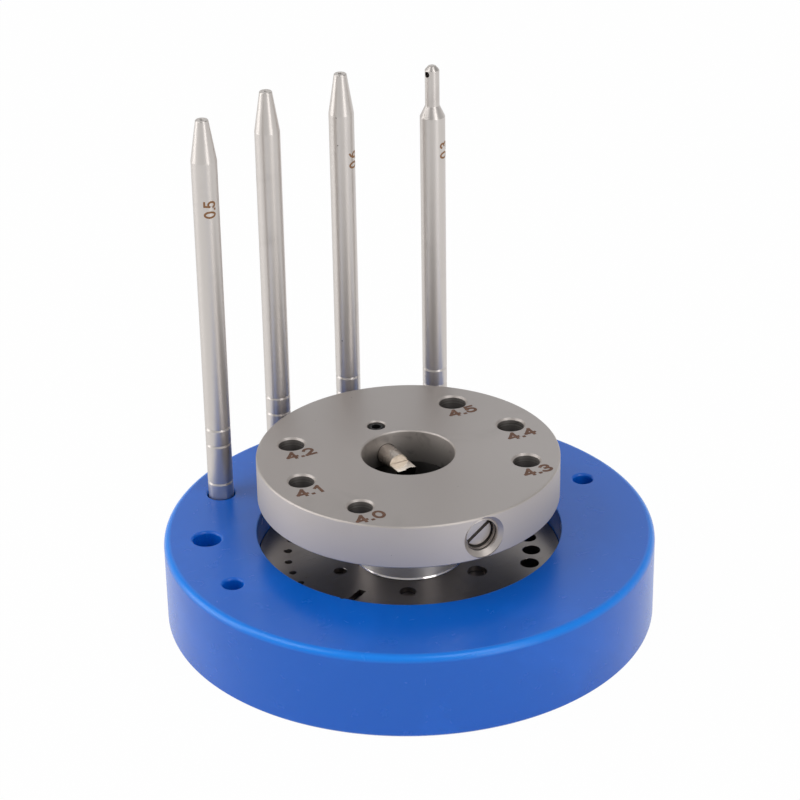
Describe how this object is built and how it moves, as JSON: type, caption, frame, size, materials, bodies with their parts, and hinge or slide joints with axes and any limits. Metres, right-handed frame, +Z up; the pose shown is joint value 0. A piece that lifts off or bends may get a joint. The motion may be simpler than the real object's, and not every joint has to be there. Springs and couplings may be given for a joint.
{
  "type": "balance holder",
  "caption": "Watch balance holder: a two-jaw clamp disc turning on a tube above a graded die plate, in a round base that also stores upright punches.",
  "frame": {"origin": "centre of the base's flat underside", "axes": "+Z up through the disc; Y along the clamp axis, with the clamp screw in the disc's -Y side and the fixed jaw on the +Y side; X to the right of someone facing the clamp screw"},
  "size_m": [0.08, 0.08, 0.0818],
  "materials": {
    "blue_plastic": "glossy",
    "plate_steel": "ground",
    "screw_steel": "machined",
    "tube_steel": "turned",
    "disc_steel": "satin",
    "jaw_steel": "ground",
    "black_steel": "black oxide",
    "punch_steel": "satin"
  },
  "bodies": {
    "base": {"base": "blue_plastic", "die_plate": "plate_steel", "plate_screws": "screw_steel"},
    "hub": {"hub_tube": "tube_steel"},
    "disc": {"clamp_disc": "disc_steel", "jaw_key": "screw_steel"},
    "front_jaw": {"front_jaw": "jaw_steel"},
    "clamp_screw": {"clamp_screw": "screw_steel"},
    "rear_jaw": {"rear_jaw": "jaw_steel"},
    "set_screw": {"set_screw": "black_steel"},
    "punch_1": {"punch_1": "punch_steel"},
    "punch_2": {"punch_2": "punch_steel"},
    "punch_3": {"punch_3": "punch_steel"},
    "punch_4": {"punch_4": "punch_steel"}
  },
  "joints": [
    {"name": "head_lift", "type": "slide", "parent": "base", "child": "hub", "axis": [0, 0, 1], "range_m": [0, 0.03]},
    {"name": "head_turn", "type": "hinge", "parent": "hub", "child": "disc", "pos_m": [0, 0, 0.0206], "axis": [0, 0, 1], "continuous": true},
    {"name": "jaw_slide", "type": "slide", "parent": "disc", "child": "front_jaw", "axis": [0, 1, 0], "range_m": [-0.0016, 0.0024]},
    {"name": "clamp_screw_turn", "type": "hinge", "parent": "front_jaw", "child": "clamp_screw", "pos_m": [0, -0.0224, 0.02425], "axis": [0, 1, 0], "range_deg": [-720, 1080]},
    {"name": "rear_jaw_setting", "type": "slide", "parent": "disc", "child": "rear_jaw", "axis": [0, 1, 0], "range_m": [0, 0.001]},
    {"name": "set_screw_turn", "type": "hinge", "parent": "disc", "child": "set_screw", "pos_m": [0, 0.0109, 0.0259], "axis": [0, 0, 1], "range_deg": [0, 180]},
    {"name": "punch_1_lift", "type": "slide", "parent": "base", "child": "punch_1", "axis": [0, 0, 1], "range_m": [0, 0.03]},
    {"name": "punch_2_lift", "type": "slide", "parent": "base", "child": "punch_2", "axis": [0, 0, 1], "range_m": [0, 0.03]},
    {"name": "punch_3_lift", "type": "slide", "parent": "base", "child": "punch_3", "axis": [0, 0, 1], "range_m": [0, 0.03]},
    {"name": "punch_4_lift", "type": "slide", "parent": "base", "child": "punch_4", "axis": [0, 0, 1], "range_m": [0, 0.03]}
  ],
  "couplings": [
    {"joint": "clamp_screw_turn", "follows": "jaw_slide", "rad_per_m": 7854}
  ]
}
